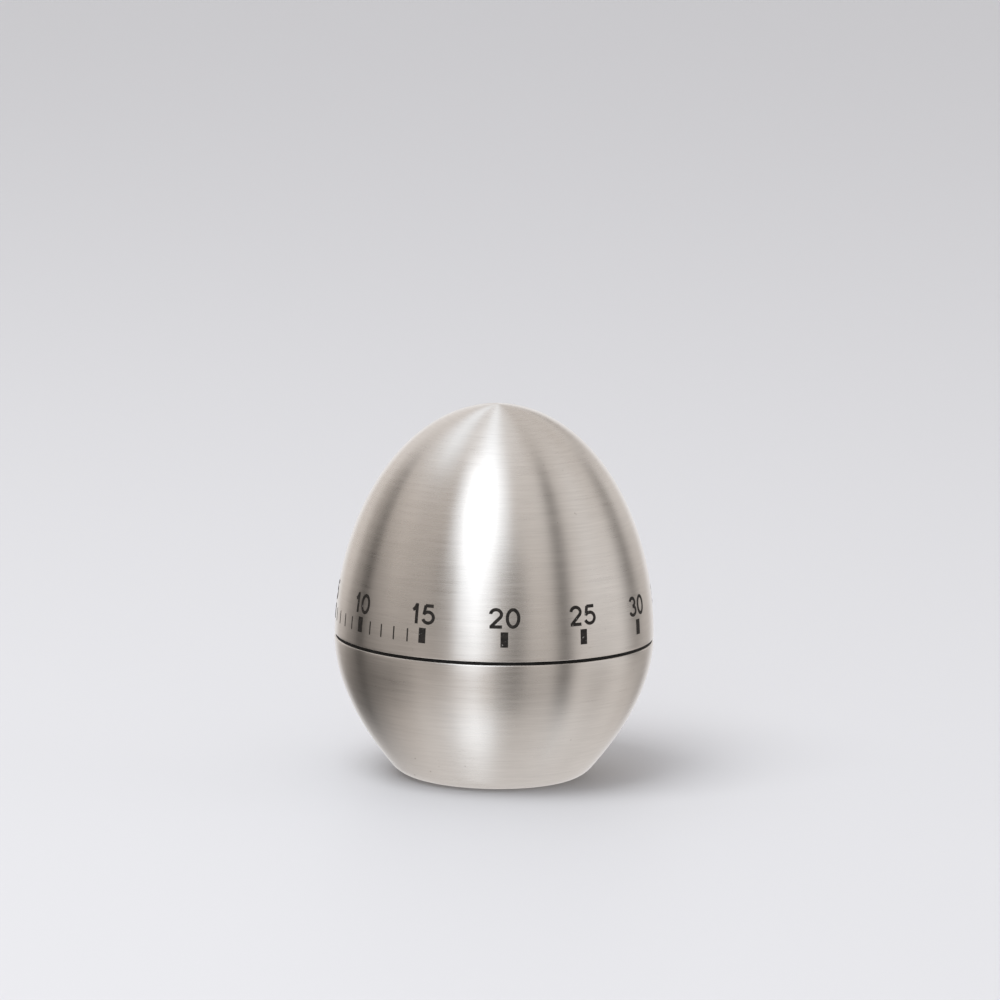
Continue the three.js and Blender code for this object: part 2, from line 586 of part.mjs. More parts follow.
function hammerHead() {
  const bore = circle(HAMMER_WIRE.radius + FIT, AT.head);
  return prism(circle(HAMMER.head, AT.head), HAMMER_Z.headLow, HAMMER_Z.headHigh, [bore]);
}

// A leaf spring: a foot fixed to a plate, and a thin strip from it to the lever it presses.
function leafSpring([from, to], lowZ, highZ) {
  const foot = new THREE.Vector2(...from);
  const strip = prism(bar(foot, new THREE.Vector2(...to), LEAF.strip), lowZ + FIT, highZ - FIT);
  return join(rod(LEAF.foot, lowZ, highZ, foot), strip);
}

// A post riveted through the top plate by a thinner tenon.
function plateStud(at, { radius, tenon }, lowZ, highZ) {
  return join(rod(radius, lowZ, highZ, at), rod(tenon, PLATE.highZ - FIT, ABOVE_PLATE + FIT, at));
}

// The anchor's two pins stand either side of the escape wheel, just clear of its tips.
function palletAnchor() {
  const facing = direction(AT.balance, AT.escape);
  const tips = [-ANCHOR.spread, ANCHOR.spread].map((turn) =>
    polar(ANCHOR.arm, facing + turn).add(AT.balance));
  const plate = lever(AT.balance, FINE.balance + FIT, tips, 2 * ANCHOR.pin, ANCHOR.lowZ);
  return join(plate, ...tips.map((tip) => rod(ANCHOR.pin, ANCHOR.pinLowZ, ANCHOR.pinHighZ, tip, 8)));
}

// The balance: a bar across the staff with a weight at each end.
function balanceBar() {
  const across = direction(AT.balance, AT.escape) + 90;
  const ends = [0, 180].map((turn) => polar(BALANCE.half, across + turn).add(AT.balance));
  const plain = lever(AT.balance, FINE.balance + FIT, ends, BALANCE.width, BALANCE.lowZ);
  return join(plain, ...ends.map((end) => rod(BALANCE.weight, BALANCE.lowZ, BALANCE.weightTopZ, end)));
}

// ---- Assembly -----------------------------------------------------------------------------

// The dial: everything that turns with the upper half.
add('upper_shell', upperShell(), STEEL);
add('dial_liner', liner(), BLACK_PLASTIC);
add('winding_arbor', windingArbor(), BRIGHT_STEEL);
add('arbor_clip', arborClip(), SPRING_STEEL);
add('alarm_cam', alarmCam(), PLATE_STEEL);
add('stop_arm', stopArm(), PLATE_STEEL);
add('clutch_spring', clutchSpring(), SPRING_STEEL);
const collarBore = ARBOR.body + FIT;
add('clutch_collar', collar(CLUTCH.collar, collarBore, CLUTCH.collarLowZ, CLUTCH.collarHighZ), BRASS);

// The base and its case.
add('lower_shell', lowerShell(), STEEL);
add('seam_ring', seamRing(), BLACK_PLASTIC);
add('housing', housing(), GREY_PLASTIC);
add('base_cover', baseCover(), BLACK_PLASTIC);
AT.coverScrews.forEach((at, i) => {
  add(`cover_screw_${i + 1}`, screw(at, COVER_SCREW), BRIGHT_STEEL);
});

// The movement's frame, bell and mainspring.
add('bottom_plate', bottomPlate(), PLATE_STEEL);
add('top_plate', topPlate(), PLATE_STEEL);
AT.pillars.forEach((at, i) => {
  add(`pillar_${i + 1}`, pillar(at), BRASS);
  add(`pillar_nut_${i + 1}`, pillarNut(at), BRIGHT_STEEL);
});
const screwTop = LOW_PLATE_TOP + FIT + PLATE_SCREW.thick;
AT.plateScrews.forEach((at, i) => {
  const size = { ...PLATE_SCREW, headZ: screwTop, tipZ: screwTop - PLATE_SCREW.length };
  add(`plate_screw_${i + 1}`, screw(at, size), BRIGHT_STEEL);
});
add('bell_post', bellPost(), BRIGHT_STEEL);
add('bell', bell(), BRIGHT_STEEL);
add('bell_screw', screw(CENTRE, BELL_SCREW), BRIGHT_STEEL);
add('mainspring', mainspring(), SPRING_STEEL);
add('spring_stud', plateStud(AT.springEnd, SPRING_STUD, SPRING.lowZ, PLATE.highZ - FIT), BRIGHT_STEEL);
add('stop_pin', plateStud(AT.stopPin, STOP_PIN, ABOVE_PLATE, STOP.highZ + RUN), BRIGHT_STEEL);

// The train, from the main wheel on the dial's arbor to the balance.
add('main_wheel', wheel(MAIN, CENTRE, ARBOR.body + RUN, AT.second), BRASS);
add('second_arbor', pinionArbor(SECOND_PINION, FINE.second, AT.second, CENTRE), BRIGHT_STEEL);
add('second_wheel', wheel(SECOND, AT.second, FINE.second + FIT, AT.third), BRASS);
add('strike_star', strikeStar(), PLATE_STEEL);
add('third_arbor', pinionArbor(THIRD_PINION, FINE.third, AT.third, AT.second), BRIGHT_STEEL);
add('third_wheel', wheel(THIRD, AT.third, FINE.third + FIT, AT.escape), BRASS);
add('escape_arbor', pinionArbor(ESCAPE_PINION, FINE.escape, AT.escape, AT.third), BRIGHT_STEEL);
add('escape_wheel', escapeWheel(), BRASS);
add('balance_staff', arbor(FINE.balance, AT.balance), BRIGHT_STEEL);
add('pallet_anchor', palletAnchor(), PLATE_STEEL);
add('balance_bar', balanceBar(), PLATE_STEEL);

// The hammer, on an arbor that reaches up through the top plate to its finger.
const hammerBore = FINE.hammer + FIT;
const fingerTip = towards(AT.hammer, AT.trip, HAMMER_FINGER.length);
const tailTip = towards(AT.hammer, AT.second, HAMMER.tail);
add('hammer_arbor', arbor(FINE.hammer, AT.hammer, CAM.highZ + RUN, FINE.hammer), BRIGHT_STEEL);
add('hammer_finger', lever(AT.hammer, hammerBore, [fingerTip], HAMMER_FINGER.width, CAM.lowZ), PLATE_STEEL);
add('strike_tail', lever(AT.hammer, hammerBore, [tailTip], HAMMER_FINGER.width, STAR.lowZ), PLATE_STEEL);
add('hammer_arm', hammerArm(), PLATE_STEEL);
add('hammer_head', hammerHead(), BRASS);
const hammerLeaf = leafSpring(LEAF.hammer, LOW_PLATE_TOP + FIT, HAMMER_Z.arm + LEVER.thick);
add('hammer_spring', hammerLeaf, SPRING_STEEL);

// The trip lever, between the alarm cam and the hammer's finger.
const tripTips = [AT.nose, towards(AT.trip, AT.hammer, TRIP.tail)];
add('trip_lever', lever(AT.trip, TRIP_STUD.radius + RUN, tripTips, TRIP.width, CAM.lowZ), PLATE_STEEL);
const tripPost = plateStud(AT.trip, TRIP_STUD, ABOVE_PLATE, TRIP_STUD.headZ + FIT);
const tripHead = rod(TRIP_STUD.head, TRIP_STUD.headZ, TRIP_STUD.topZ, AT.trip);
add('trip_stud', join(tripPost, tripHead), BRIGHT_STEEL);
add('trip_spring', leafSpring(LEAF.trip, ABOVE_PLATE, CAM.highZ), SPRING_STEEL);

export default timer;
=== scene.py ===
"""A brushed steel egg timer, standing on its base: finished shells, dial print and base."""
import json
import math

import bpy
import numpy as np
from mathutils import Matrix, Vector


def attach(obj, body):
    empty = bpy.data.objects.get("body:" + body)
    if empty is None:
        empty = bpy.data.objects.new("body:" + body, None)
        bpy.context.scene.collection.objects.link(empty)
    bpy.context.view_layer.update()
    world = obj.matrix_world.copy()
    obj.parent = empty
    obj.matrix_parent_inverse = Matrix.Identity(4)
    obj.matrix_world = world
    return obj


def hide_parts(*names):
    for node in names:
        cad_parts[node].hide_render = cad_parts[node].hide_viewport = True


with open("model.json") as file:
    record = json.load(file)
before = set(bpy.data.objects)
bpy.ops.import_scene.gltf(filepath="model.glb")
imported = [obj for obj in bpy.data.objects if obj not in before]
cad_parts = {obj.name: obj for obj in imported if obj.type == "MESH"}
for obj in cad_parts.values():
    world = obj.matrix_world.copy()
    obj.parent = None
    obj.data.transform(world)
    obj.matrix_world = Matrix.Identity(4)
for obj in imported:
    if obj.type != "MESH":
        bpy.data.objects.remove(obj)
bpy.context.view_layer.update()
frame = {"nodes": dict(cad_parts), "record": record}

MM = 0.001

# ---- Camera ------------------------------------------------------------------------------
# A long lens looks at the dial from a little above, with the number 20 just right of the
# middle. The camera stands at an azimuth counted from -Y towards +X, and leans slightly left.
VIEW_AZIMUTH = math.radians(116.3)
VIEW_HEIGHT = math.radians(9.1)
VIEW_ROLL = math.radians(1.1)
VIEW_RANGE = 1.2
AIM_HEIGHT = 55.6 * MM
AIM_RIGHT = 0.68 * MM
LENS_LENGTH, LENS_FRAME, NEAREST = 216, 36, 0.05

towards = Vector((math.sin(VIEW_AZIMUTH), -math.cos(VIEW_AZIMUTH), 0))
right = Vector((math.cos(VIEW_AZIMUTH), math.sin(VIEW_AZIMUTH), 0))
back = towards * math.cos(VIEW_HEIGHT) + Vector((0, 0, math.sin(VIEW_HEIGHT)))
turn = Matrix.Rotation(VIEW_ROLL, 3, back)
up = turn @ back.cross(right)
lens = bpy.data.cameras.new("view")
lens.lens = LENS_LENGTH
lens.sensor_width = LENS_FRAME
lens.clip_start = NEAREST
camera = bpy.data.objects.new("view", lens)
axes = Matrix((turn @ right, up, back)).transposed()
aim = right * AIM_RIGHT + Vector((0, 0, AIM_HEIGHT))
camera.matrix_world = Matrix.Translation(aim + back * VIEW_RANGE) @ axes.to_4x4()
bpy.context.collection.objects.link(camera)
bpy.context.scene.camera = camera

# ---- Studio ------------------------------------------------------------------------------
# A plain pale table under a soft studio: pale screens all round, one tall bright window beside
# the camera, and darker gaps between the screens that give brushed steel its bands. A screen's
# place is where a round upright object mirrors it to the camera, from -1 to 1 across the object.
FLOOR_SIZE, FLOOR_DROP = 16.0, 0.02 * MM
FLOOR_COLOUR, FLOOR_ROUGHNESS = (0.565, 0.575, 0.60, 1), 0.6
SCREENS = [  # place across; brightness overhead, high up, level, below the horizon and low down
    (-1.00, 0.75, 0.75, 0.70, 0.50, 0.36), (-0.95, 0.90, 0.78, 0.76, 0.32, 0.10),
    (-0.90, 0.86, 0.50, 0.34, 0.22, 0.02), (-0.83, 0.86, 0.28, 0.05, 0.09, 0.00),
    (-0.77, 0.90, 0.62, 0.38, 0.14, 0.24), (-0.66, 1.10, 0.68, 0.56, 0.17, 0.58),
    (-0.55, 1.36, 0.60, 0.50, 0.31, 0.74), (-0.46, 1.18, 0.60, 0.46, 0.52, 0.86),
    (-0.36, 0.93, 0.58, 0.32, 0.54, 0.92), (-0.28, 0.92, 1.34, 0.42, 0.58, 1.10),
    (-0.21, 0.99, 2.12, 1.30, 0.72, 1.52), (-0.12, 1.34, 2.20, 1.62, 0.92, 1.74),
    (-0.03, 1.37, 2.10, 1.12, 0.68, 1.40), (0.05, 1.00, 1.42, 0.50, 0.40, 0.96),
    (0.14, 0.87, 0.76, 0.28, 0.26, 0.78), (0.25, 0.85, 0.76, 0.68, 0.46, 0.80),
    (0.35, 0.70, 0.80, 0.66, 0.52, 0.86), (0.44, 0.71, 0.18, 0.15, 0.14, 0.98),
    (0.53, 0.72, 0.76, 0.76, 0.72, 0.92), (0.65, 0.73, 0.84, 0.88, 0.54, 0.88),
    (0.78, 0.70, 0.74, 0.86, 0.74, 0.80), (0.885, 0.74, 0.38, 0.18, 0.62, 0.72),
    (0.945, 0.52, 0.78, 0.64, 0.38, 0.54), (1.00, 0.75, 0.75, 0.66, 0.50, 0.36),
]
# How far up a surface faces where each height of screens fades in, from overhead to low down.
FACING = ((0.56, 0.74), (0.20, 0.44), (-0.20, 0.16), (-0.45, -0.29), (-0.60, -0.48))
WAVER, WAVER_SCALE = 0.040, 4.0  # how far the screens' edges stray, and how finely
UNDERFOOT = 0.86
REAR_WINDOW, REAR_EDGE = 1.0, (0.86, 0.985)  # a bright window behind the timer, and its soft edge
BRIGHTEST = 2.2  # a ramp's colours stop at 1, so they are shares of this
WARM_SHADE, WARM_WALL = np.array([1.0, 0.925, 0.875]), np.array([1.0, 0.905, 0.84])
COOL_LIGHT = np.array([0.97, 1.0, 1.05])
DIM, BRIGHTER = 0.7, 0.5  # a screen is warm below the first, and daylight above it by the second
BACKDROP = (0.80, 0.805, 0.84, 1)
LAMP_SIZE, LAMP_POWER = 0.9, 14
LAMP_NEAR, LAMP_LEFT, LAMP_HEIGHT = 0.5, 0.5, 1.3

floor_mesh = bpy.data.meshes.new("table")
far = FLOOR_SIZE / 2
floor_mesh.from_pydata([(x, y, -FLOOR_DROP) for x, y in
                        ((-far, -far), (far, -far), (far, far), (-far, far))], [], [(0, 1, 2, 3)])
floor = bpy.data.objects.new("table", floor_mesh)
bpy.context.collection.objects.link(floor)
table_paint = bpy.data.materials.new("table_paint")
table_paint.use_nodes = True
paint = table_paint.node_tree.nodes["Principled BSDF"]
paint.inputs["Base Color"].default_value = FLOOR_COLOUR
paint.inputs["Roughness"].default_value = FLOOR_ROUGHNESS
floor_mesh.materials.append(table_paint)
floor.visible_glossy = False

world = bpy.data.worlds.new("studio")
world.use_nodes = True
bpy.context.scene.world = world
bpy.context.scene.view_settings.view_transform = "Standard"
tree = world.node_tree
tree.nodes.clear()


def node(tree, kind, values=None, **settings):
    """A shader node with its settings, and its sockets given as values or as other sockets."""
    made = tree.nodes.new(kind)
    for name, value in settings.items():
        setattr(made, name, value)
    for name, value in (values or {}).items():
        if isinstance(value, bpy.types.NodeSocket):
            tree.links.new(value, made.inputs[name])
        else:
            made.inputs[name].default_value = value
    return made


def maths(tree, operation, *values):
    """One step of arithmetic on numbers or sockets."""
    return node(tree, "ShaderNodeMath", dict(enumerate(values)), operation=operation).outputs[0]


def ramp(tree, factor, stops, easing="LINEAR"):
    """A colour ramp from (position, grey or colour) stops."""
    made = node(tree, "ShaderNodeValToRGB", {"Fac": factor})
    band = made.color_ramp
    band.interpolation = easing
    while len(band.elements) < len(stops):
        band.elements.new(0.5)
    for element, (position, tone) in zip(band.elements, stops):
        element.position = position
    for element, (position, tone) in zip(band.elements, stops):
        element.color = (*(tone if isinstance(tone, tuple) else (tone,) * 3), 1)
    return made.outputs["Color"]


# The sky seen in each direction: how far across and how far up a surface has to face to mirror
# that direction to the camera, half way between the two.
sky = node(tree, "ShaderNodeTexCoord").outputs["Generated"]
between = node(tree, "ShaderNodeVectorMath", {0: sky, 1: back}, operation="ADD").outputs[0]
facing = node(tree, "ShaderNodeVectorMath", {0: between}, operation="NORMALIZE").outputs[0]
rightward = node(tree, "ShaderNodeVectorMath", {0: facing, 1: right}, operation="DOT_PRODUCT")
upward = node(tree, "ShaderNodeSeparateXYZ", {"Vector": facing}).outputs[2]
steepness = maths(tree, "MULTIPLY", upward, upward)
flatness = maths(tree, "SQRT", maths(tree, "SUBTRACT", 1.0, steepness))
across = maths(tree, "DIVIDE", rightward.outputs["Value"], maths(tree, "MAXIMUM", flatness, 0.001))
uneven = node(tree, "ShaderNodeTexNoise", {"Vector": facing, "Scale": WAVER_SCALE, "Detail": 3.0})
waver = maths(tree, "MULTIPLY_ADD", uneven.outputs[0], WAVER, 0.5 - WAVER / 2)
share = maths(tree, "MULTIPLY_ADD", across, 0.5, waver)


def screen_tone(brightness, place=1.0):
    """A screen's colour: dim ones are warm, more so on the left, and bright ones are daylight."""
    lit = min(1, max(0, (brightness - DIM) / BRIGHTER))
    warm = WARM_WALL if place < 0 else WARM_SHADE
    return tuple(brightness / BRIGHTEST * (warm * (1 - lit) + COOL_LIGHT * lit))


def soft_step(value, limits):
    """Nothing below two limits, all above them, and a smooth rise between."""
    return node(tree, "ShaderNodeMapRange", {"Value": value, "From Min": limits[0],
                                             "From Max": limits[1]},
                interpolation_type="SMOOTHSTEP").outputs[0]


def tone(tree, factor, low, high):
    """A colour between two, by a factor from 0 to 1. Either is three numbers or a socket."""
    low, high = (end if isinstance(end, bpy.types.NodeSocket) else (*end, 1) for end in (low, high))
    return node(tree, "ShaderNodeMix", {"Factor": factor, "A": low, "B": high},
                data_type="RGBA").outputs["Result"]


overhead, high, level, below, low = (
    ramp(tree, share, [((stop[0] + 1) / 2, screen_tone(stop[side], stop[0])) for stop in SCREENS],
         "EASE") for side in (1, 2, 3, 4, 5))
seen = screen_tone(UNDERFOOT)
for screens, limits in zip((low, below, level, high, overhead), FACING[::-1]):
    seen = tone(tree, soft_step(upward, limits), seen, screens)
rearward = node(tree, "ShaderNodeVectorMath", {0: sky, 1: -back}, operation="DOT_PRODUCT")
seen = tone(tree, soft_step(rearward.outputs["Value"], REAR_EDGE), seen, screen_tone(REAR_WINDOW))
rays = node(tree, "ShaderNodeLightPath")
bright = node(tree, "ShaderNodeBackground", {"Color": seen, "Strength": BRIGHTEST})
plain = node(tree, "ShaderNodeBackground", {"Color": BACKDROP, "Strength": 1.0})
mixed = node(tree, "ShaderNodeMixShader", {0: rays.outputs["Is Camera Ray"], 1: bright.outputs[0],
                                           2: plain.outputs[0]})
node(tree, "ShaderNodeOutputWorld", {"Surface": mixed.outputs[0]})

lamp = bpy.data.lights.new("soft_light", "AREA")
lamp.shape = "RECTANGLE"
lamp.size = lamp.size_y = LAMP_SIZE
lamp.energy = LAMP_POWER
soft_light = bpy.data.objects.new("soft_light", lamp)
stand = towards * LAMP_NEAR - right * LAMP_LEFT + Vector((0, 0, LAMP_HEIGHT))
tilt = stand.to_track_quat("Z", "Y").to_matrix().to_4x4()
soft_light.matrix_world = Matrix.Translation(stand) @ tilt
soft_light.visible_glossy = False
bpy.context.collection.objects.link(soft_light)

# ---- Upper shell: the dial ---------------------------------------------------------------
# A dome spun and pressed from 0.5 mm stainless sheet, brushed round and round on a lathe, with
# its edge rolled smooth. It is a press fit over the liner that carries the winding arbor.
RADIUS = 32 * MM
WIDEST = 28 * MM
APEX = 75 * MM
SHEET = 0.5 * MM
DOME_EDGE = 28.55 * MM
EDGE_ROUND = 0.22 * MM
SIDES = 256
DOME_RINGS = 150
STEEL, STEEL_STAIN, STEEL_SPOILT = (0.72, 0.70, 0.67), (0.66, 0.62, 0.58), (0.30, 0.28, 0.26)
LINE_PALE, LINE_DARK = 1.07, 0.90  # the steel's colour on the brush lines and between them
LINE_WIDTH, LINE_DEPTH = 0.16 * MM, 0.012 * MM
LINE_ROUGHNESS, SMEAR_ROUGHNESS, PIT_ROUGHNESS = (0.24, 0.31), 0.05, 0.2
BRUSHED_ONE_WAY = 0.82  # how far the brushing draws a reflection out across the lines


def dome(height):
    """The dome's outer radius at a height: a half ellipse, widest x root(1 - rise squared)."""
    rise = (height - WIDEST) / (APEX - WIDEST)
    return RADIUS * np.sqrt(np.clip(1 - rise ** 2, 0, 1))


def inward(line, depth):
    """A profile moved sideways by a depth: each point goes along the line's own normal."""
    slope = np.gradient(line, axis=0)
    slope /= np.linalg.norm(slope, axis=1)[:, None]
    return line + depth * np.column_stack([-slope[:, 1], slope[:, 0]])


def bend(centre, radius, start, end, count=9):
    """Part of a circle in the profile's plane: centre + radius x (cos, sin) of the angle."""
    angle = np.radians(np.linspace(start, end, count))
    return np.column_stack([centre[0] + radius * np.cos(angle), centre[1] + radius * np.sin(angle)])


def turned(name, profile, sides=SIDES, at=(0, 0)):
    """A turned surface: point (r, z) of the profile goes to (r cos a, r sin a, z) for each angle a.

    The profile runs anticlockwise in the r-z plane and closes on itself, or starts and ends on
    the axis. Each vertex keeps the distance run along the profile, for patterns that follow it.
    """
    profile = np.asarray(profile, float)
    closed = profile[0, 0] > 0 or profile[-1, 0] > 0
    angle = np.linspace(0, 2 * np.pi, sides, endpoint=False)
    run = np.concatenate([[0], np.cumsum(np.linalg.norm(np.diff(profile, axis=0), axis=1))])
    start, stop = (0, len(profile)) if closed else (1, len(profile) - 1)
    rings = profile[start:stop]
    grid = np.empty((len(rings), sides, 3))
    grid[..., 0] = rings[:, :1] * np.cos(angle) + at[0]
    grid[..., 1] = rings[:, :1] * np.sin(angle) + at[1]
    grid[..., 2] = rings[:, 1:]
    points = grid.reshape(-1, 3)
    runs = np.repeat(run[start:stop], sides)
    rows = np.arange(len(rings) if closed else len(rings) - 1)
    row, column = np.meshgrid(rows, np.arange(sides), indexing="ij")
    ahead, beside = (row + 1) % len(rings), (column + 1) % sides
    quads = np.stack([row * sides + column, row * sides + beside, ahead * sides + beside,
                      ahead * sides + column], -1).reshape(-1, 4)
    faces = quads.tolist()
    if not closed:
        first, last = len(points), len(points) + 1
        points = np.vstack([points, [[*at, profile[0, 1]], [*at, profile[-1, 1]]]])
        runs = np.concatenate([runs, [run[0], run[-1]]])
        near = np.arange(sides)
        beyond = (near + 1) % sides
        far = (len(rings) - 1) * sides
        faces += np.column_stack([np.full(sides, first), beyond, near]).tolist()
        faces += np.column_stack([np.full(sides, last), far + near, far + beyond]).tolist()
    mesh = bpy.data.meshes.new(name)
    mesh.from_pydata(points.tolist(), [], faces)
    mesh.attributes.new("run", "FLOAT", "POINT").data.foreach_set("value", runs)
    mesh.polygons.foreach_set("use_smooth", np.ones(len(faces), bool))
    mesh.update()
    made = bpy.data.objects.new(name, mesh)
    bpy.context.collection.objects.link(made)
    return made


def group(name, inputs, outputs):
    """An empty node group with its named inputs and outputs, and the two end nodes."""
    made = bpy.data.node_groups.new(name, "ShaderNodeTree")
    for label, kind, value in inputs:
        socket = made.interface.new_socket(label, in_out="INPUT", socket_type="NodeSocket" + kind)
        if value is not None:
            socket.default_value = value
    for label, kind in outputs:
        made.interface.new_socket(label, in_out="OUTPUT", socket_type="NodeSocket" + kind)
    return made, made.nodes.new("NodeGroupInput").outputs, made.nodes.new("NodeGroupOutput").inputs


def noise(tree, vector, scale, detail=2.0, roughness=0.5):
    """Plain noise, 0 to 1."""
    return node(tree, "ShaderNodeTexNoise", {"Vector": vector, "Scale": scale, "Detail": detail,
                                             "Roughness": roughness}).outputs[0]


def span(tree, value, low, high, to_low=0.0, to_high=1.0):
    """A value between two limits carried to two others, and held there beyond them."""
    return node(tree, "ShaderNodeMapRange", {"Value": value, "From Min": low, "From Max": high,
                                             "To Min": to_low, "To Max": to_high}).outputs[0]


# Lathe brushing: lines that run round the axis, long along it and fine across, with a few
# deeper scratches. It reads the distance run along the profile, so lines crowd nowhere.
brushing, given, made = group(
    "lathe_brushing",
    [("Run", "Float", 0.0), ("Line Width", "Float", 0.2 * MM), ("Scratches", "Float", 0.5)],
    [("Lines", "Float"), ("Scratches", "Float"), ("Patches", "Float")])
spot = node(brushing, "ShaderNodeTexCoord").outputs["Object"]
flat = node(brushing, "ShaderNodeVectorMath", {0: spot, 1: (1, 1, 0)}, operation="MULTIPLY")
way = node(brushing, "ShaderNodeVectorMath", {0: flat.outputs[0]}, operation="NORMALIZE")
pace = maths(brushing, "DIVIDE", given["Run"], given["Line Width"])


def ringed(length, stretch):
    """A point that moves slowly round the axis and quickly along the profile."""
    circle = node(brushing, "ShaderNodeVectorMath", {0: way.outputs[0], "Scale": length},
                  operation="SCALE")
    rise = node(brushing, "ShaderNodeCombineXYZ", {"Z": maths(brushing, "MULTIPLY", pace, stretch)})
    return node(brushing, "ShaderNodeVectorMath", {0: circle.outputs[0], 1: rise.outputs[0]},
                operation="ADD").outputs[0]


fine = noise(brushing, ringed(5.0, 1.0), 1.0, 3.0, 0.6)
broad = noise(brushing, ringed(2.2, 0.22), 1.0, 2.0)
fine_share = maths(brushing, "MULTIPLY", fine, 0.55)
brushing.links.new(maths(brushing, "MULTIPLY_ADD", broad, 0.45, fine_share), made["Lines"])
thin = noise(brushing, ringed(16.0, 0.5), 1.0, 0.0)
ridge = maths(brushing, "ABSOLUTE", maths(brushing, "SUBTRACT", thin, 0.5))
where = noise(brushing, spot, 90.0, 1.0)
cuts = maths(brushing, "MULTIPLY", span(brushing, ridge, 0.0, 0.02, 1.0, 0.0),
             span(brushing, where, 0.55, 0.7))
brushing.links.new(maths(brushing, "MULTIPLY", cuts, given["Scratches"]), made["Scratches"])
brushing.links.new(noise(brushing, spot, 45.0, 3.0, 0.55), made["Patches"])

# Handling marks: a scatter of tiny pits and specks, and soft smears left by fingers.
wear, given, made = group(
    "handling_marks", [("Pits", "Float", 0.5)], [("Pits", "Float"), ("Smears", "Float")])
spot = node(wear, "ShaderNodeTexCoord").outputs["Object"]
cells = node(wear, "ShaderNodeTexVoronoi", {"Vector": spot, "Scale": 700.0, "Randomness": 1.0})
dots = span(wear, cells.outputs["Distance"], 0.07, 0.17, 1.0, 0.0)
chosen = node(wear, "ShaderNodeSeparateColor", {"Color": cells.outputs["Color"]}).outputs[0]
clusters = span(wear, noise(wear, spot, 70.0, 1.0), 0.58, 0.68)
few = maths(wear, "GREATER_THAN", chosen, 0.80)
pits = maths(wear, "MULTIPLY", maths(wear, "MULTIPLY", dots, few), clusters)
wear.links.new(maths(wear, "MULTIPLY", pits, given["Pits"]), made["Pits"])
smear_way = node(wear, "ShaderNodeMapping", {"Vector": spot, "Scale": (55, 55, 30)}).outputs[0]
wear.links.new(span(wear, noise(wear, smear_way, 1.0, 4.0, 0.6), 0.42, 0.72), made["Smears"])


def place(tree, effect, values):
    """One of the shared effects, in a material, with its own values."""
    return node(tree, "ShaderNodeGroup", values, node_tree=effect).outputs


def finish(name):
    """A new material: its tree and its Principled shader."""
    made = bpy.data.materials.new(name)
    made.use_nodes = True
    return made, made.node_tree, made.node_tree.nodes["Principled BSDF"]


def brushed_shell(name, scratches, pits):
    """Stainless sheet brushed round the axis: long dull lines, scratches, pits and smears."""
    made, tree, shader = finish(name)
    run = node(tree, "ShaderNodeAttribute", attribute_name="run").outputs["Fac"]
    lines = place(tree, brushing, {"Run": run, "Line Width": LINE_WIDTH, "Scratches": scratches})
    marks = place(tree, wear, {"Pits": pits})
    pale, dark = (tuple(c * share for c in STEEL) for share in (LINE_PALE, LINE_DARK))
    base = tone(tree, span(tree, lines["Lines"], 0.3, 0.7), dark, pale)
    cloudy = tone(tree, span(tree, lines["Patches"], 0.35, 0.7, 0.0, 0.16), base, STEEL_STAIN)
    spoilt = maths(tree, "MAXIMUM", maths(tree, "MULTIPLY", lines["Scratches"], 0.35),
                   maths(tree, "MULTIPLY", marks["Pits"], 0.8))
    tree.links.new(tone(tree, spoilt, cloudy, STEEL_SPOILT), shader.inputs["Base Color"])
    shader.inputs["Metallic"].default_value = 1.0
    rough = maths(tree, "ADD", span(tree, lines["Lines"], 0.25, 0.75, *LINE_ROUGHNESS),
                  span(tree, marks["Smears"], 0.0, 1.0, 0.0, SMEAR_ROUGHNESS))
    dull_pits = maths(tree, "MULTIPLY", marks["Pits"], PIT_ROUGHNESS)
    tree.links.new(maths(tree, "ADD", rough, dull_pits), shader.inputs["Roughness"])
    shader.inputs["Anisotropic"].default_value = BRUSHED_ONE_WAY
    shader.inputs["Anisotropic Rotation"].default_value = 0.25
    round_axis = node(tree, "ShaderNodeTangent", direction_type="RADIAL", axis="Z")
    tree.links.new(round_axis.outputs[0], shader.inputs["Tangent"])
    cut = maths(tree, "MULTIPLY", lines["Scratches"], 0.6)
    grain = maths(tree, "SUBTRACT", lines["Lines"], cut)
    height = maths(tree, "SUBTRACT", grain, maths(tree, "MULTIPLY", marks["Pits"], 1.2))
    raised = node(tree, "ShaderNodeBump", {"Strength": 0.5, "Distance": LINE_DEPTH,
                                           "Height": height})
    tree.links.new(raised.outputs[0], shader.inputs["Normal"])
    return made


heights = DOME_EDGE + EDGE_ROUND + (APEX - DOME_EDGE - EDGE_ROUND) * np.sin(
    np.linspace(0, np.pi / 2, DOME_RINGS))
outer = np.column_stack([dome(heights), heights])
outer[-1] = (0, APEX)
inner = inward(outer, SHEET)[::-1]
inner[0] = (0, APEX - SHEET)
lip = bend((outer[0] + inner[-1]) / 2, SHEET / 2, 180, 360, 13)[1:-1]
upper_shell = turned("upper_shell_steel", np.vstack([inner, lip, outer]))
upper_shell.data.materials.append(brushed_shell("brushed_dome", 0.9, 0.6))
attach(upper_shell, "dial")
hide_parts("upper_shell")

# ---- Lower shell: the base ---------------------------------------------------------------
# A cup of the same sheet, brushed the same way. Its side runs into a round heel, and its edge
# is curled flat under the base, where it makes the ring that the timer stands on.
CUP_EDGE = 27.9 * MM
HEEL_HEIGHT = 2.2 * MM
HEEL_RADIUS = 18.4 * MM
CUP_POWER = 1.85
CUP_RINGS = 70
LIP_RADIUS = 14.8 * MM


def cup(height):
    """The cup's outer radius at a height: widest less (depth share to the power 1.85) x 13.6 mm."""
    return RADIUS - (RADIUS - HEEL_RADIUS) * ((WIDEST - height) / WIDEST) ** CUP_POWER


heights = np.linspace(CUP_EDGE - EDGE_ROUND, HEEL_HEIGHT, CUP_RINGS)
side = np.column_stack([cup(heights), heights])
